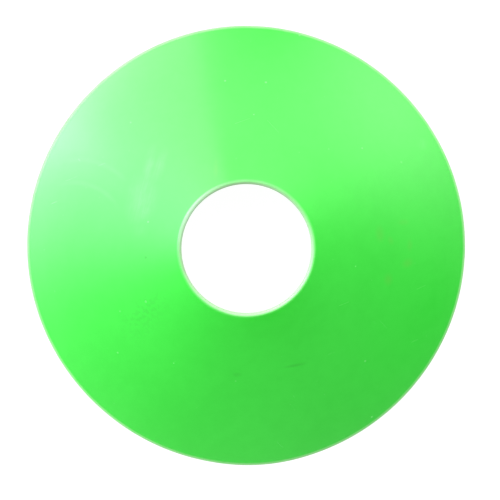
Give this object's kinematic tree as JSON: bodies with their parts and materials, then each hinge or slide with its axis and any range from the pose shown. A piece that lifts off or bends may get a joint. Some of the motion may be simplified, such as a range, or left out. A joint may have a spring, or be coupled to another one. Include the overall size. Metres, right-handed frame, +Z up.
{
  "type": "flying ring",
  "caption": "Ring for throwing and lawn games: a thin, shallow, cone-shaped wall moulded in one piece of soft plastic, with a round centre hole and a flat foot round its outer edge.",
  "frame": {"origin": "on the axis of the ring, in the plane of the flat foot that it stands on", "axes": "+Z up along the axis of the ring, from the foot to the centre hole; the ring is the same all round, so +X and +Y are free"},
  "size_m": [0.2, 0.2, 0.048],
  "materials": {
    "ring_plastic": "semi-gloss soft moulded plastic, bright green right through, lightly scuffed"
  },
  "bodies": {
    "root": {"ring_shell": "ring_plastic"}
  },
  "joints": []
}
